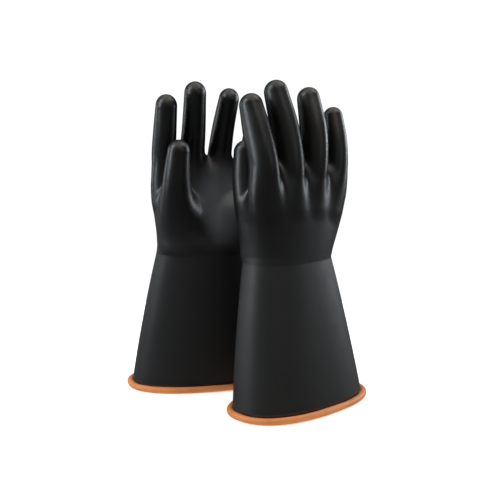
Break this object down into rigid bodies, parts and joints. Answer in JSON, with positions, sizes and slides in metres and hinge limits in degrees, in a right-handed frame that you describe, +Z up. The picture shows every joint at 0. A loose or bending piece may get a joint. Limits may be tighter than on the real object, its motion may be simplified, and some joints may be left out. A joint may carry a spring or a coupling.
{
  "type": "electrical insulating gloves",
  "caption": "Pair of long-cuff dipped rubber insulating gloves, black outer layer over an orange lining, with a rolled orange cuff bead; fingers, thumbs and wrists bend.",
  "frame": {"origin": "on the ground at the middle of the pair's bounding box", "axes": "+Z up, from the cuffs to the fingertips; +X across the pair, from the left glove to the right glove; -Y is the side from which the left glove shows its palm and the right glove its back"},
  "size_m": [0.287, 0.2302, 0.3608],
  "materials": {
    "black_outer_rubber": "smooth satin dipped rubber, black",
    "orange_lining_rubber": "matte dipped rubber, orange",
    "orange_bead_rubber": "matte rolled rubber, orange"
  },
  "bodies": {
    "left_gauntlet": {"left_cuff_bead": "orange_bead_rubber", "left_gauntlet_outer_layer": "black_outer_rubber", "left_gauntlet_lining": "orange_lining_rubber"},
    "left_hand": {"left_hand_outer_layer": "black_outer_rubber", "left_hand_lining": "orange_lining_rubber"},
    "left_index_finger": {"left_index_finger_outer_layer": "black_outer_rubber", "left_index_finger_lining": "orange_lining_rubber"},
    "left_middle_finger": {"left_middle_finger_outer_layer": "black_outer_rubber", "left_middle_finger_lining": "orange_lining_rubber"},
    "left_ring_finger": {"left_ring_finger_outer_layer": "black_outer_rubber", "left_ring_finger_lining": "orange_lining_rubber"},
    "left_little_finger": {"left_little_finger_outer_layer": "black_outer_rubber", "left_little_finger_lining": "orange_lining_rubber"},
    "left_thumb": {"left_thumb_outer_layer": "black_outer_rubber", "left_thumb_lining": "orange_lining_rubber"},
    "right_gauntlet": {"right_cuff_bead": "orange_bead_rubber", "right_gauntlet_outer_layer": "black_outer_rubber", "right_gauntlet_lining": "orange_lining_rubber"},
    "right_hand": {"right_hand_outer_layer": "black_outer_rubber", "right_hand_lining": "orange_lining_rubber"},
    "right_index_finger": {"right_index_finger_outer_layer": "black_outer_rubber", "right_index_finger_lining": "orange_lining_rubber"},
    "right_middle_finger": {"right_middle_finger_outer_layer": "black_outer_rubber", "right_middle_finger_lining": "orange_lining_rubber"},
    "right_ring_finger": {"right_ring_finger_outer_layer": "black_outer_rubber", "right_ring_finger_lining": "orange_lining_rubber"},
    "right_little_finger": {"right_little_finger_outer_layer": "black_outer_rubber", "right_little_finger_lining": "orange_lining_rubber"},
    "right_thumb": {"right_thumb_outer_layer": "black_outer_rubber", "right_thumb_lining": "orange_lining_rubber"}
  },
  "joints": [
    {"name": "left_wrist_bend", "type": "hinge", "parent": "left_gauntlet", "child": "left_hand", "pos_m": [-0.04639, 0.0371, 0.164], "axis": [0.9715, 0.2372, 0], "range_deg": [-30, 8], "stiffness_Nm_per_rad": 2.5},
    {"name": "left_index_finger_curl", "type": "hinge", "parent": "left_hand", "child": "left_index_finger", "pos_m": [-0.09182, 0.02415, 0.307], "axis": [0.9715, 0.2372, 0], "range_deg": [0, 60], "stiffness_Nm_per_rad": 0.12},
    {"name": "left_middle_finger_curl", "type": "hinge", "parent": "left_hand", "child": "left_middle_finger", "pos_m": [-0.05919, 0.03932, 0.308], "axis": [0.9715, 0.2372, 0], "range_deg": [0, 60], "stiffness_Nm_per_rad": 0.12},
    {"name": "left_ring_finger_curl", "type": "hinge", "parent": "left_hand", "child": "left_ring_finger", "pos_m": [-0.0263, 0.056, 0.306], "axis": [0.962, 0.2349, -0.1392], "range_deg": [0, 60], "stiffness_Nm_per_rad": 0.12},
    {"name": "left_little_finger_curl", "type": "hinge", "parent": "left_hand", "child": "left_little_finger", "pos_m": [0.0065, 0.06669, 0.295], "axis": [0.9466, 0.2311, -0.225], "range_deg": [0, 60], "stiffness_Nm_per_rad": 0.12},
    {"name": "left_thumb_spread", "type": "hinge", "parent": "left_hand", "child": "left_thumb", "pos_m": [-0.07696, -0.00043, 0.25], "axis": [0.2372, -0.9715, 0], "range_deg": [0, 35], "stiffness_Nm_per_rad": 0.15},
    {"name": "pair_apart", "type": "slide", "parent": "left_gauntlet", "child": "right_gauntlet", "axis": [1, 0, 0], "range_m": [0, 0.25]},
    {"name": "right_wrist_bend", "type": "hinge", "parent": "right_gauntlet", "child": "right_hand", "pos_m": [0.04845, -0.02185, 0.164], "axis": [-0.7179, -0.6961, 0], "range_deg": [-30, 8], "stiffness_Nm_per_rad": 2.5},
    {"name": "right_index_finger_curl", "type": "hinge", "parent": "right_hand", "child": "right_index_finger", "pos_m": [0.01331, -0.05341, 0.307], "axis": [-0.7179, -0.6961, 0], "range_deg": [0, 60], "stiffness_Nm_per_rad": 0.12},
    {"name": "right_middle_finger_curl", "type": "hinge", "parent": "right_hand", "child": "right_middle_finger", "pos_m": [0.04353, -0.03387, 0.308], "axis": [-0.7179, -0.6961, 0], "range_deg": [0, 60], "stiffness_Nm_per_rad": 0.12},
    {"name": "right_ring_finger_curl", "type": "hinge", "parent": "right_hand", "child": "right_ring_finger", "pos_m": [0.07515, -0.01491, 0.306], "axis": [-0.7109, -0.6894, 0.1392], "range_deg": [0, 60], "stiffness_Nm_per_rad": 0.12},
    {"name": "right_little_finger_curl", "type": "hinge", "parent": "right_hand", "child": "right_little_finger", "pos_m": [0.10165, 0.00717, 0.295], "axis": [-0.6995, -0.6783, 0.225], "range_deg": [0, 60], "stiffness_Nm_per_rad": 0.12},
    {"name": "right_thumb_spread", "type": "hinge", "parent": "right_hand", "child": "right_thumb", "pos_m": [0.00041, -0.02776, 0.25], "axis": [0.6961, -0.7179, 0], "range_deg": [0, 35], "stiffness_Nm_per_rad": 0.15}
  ]
}
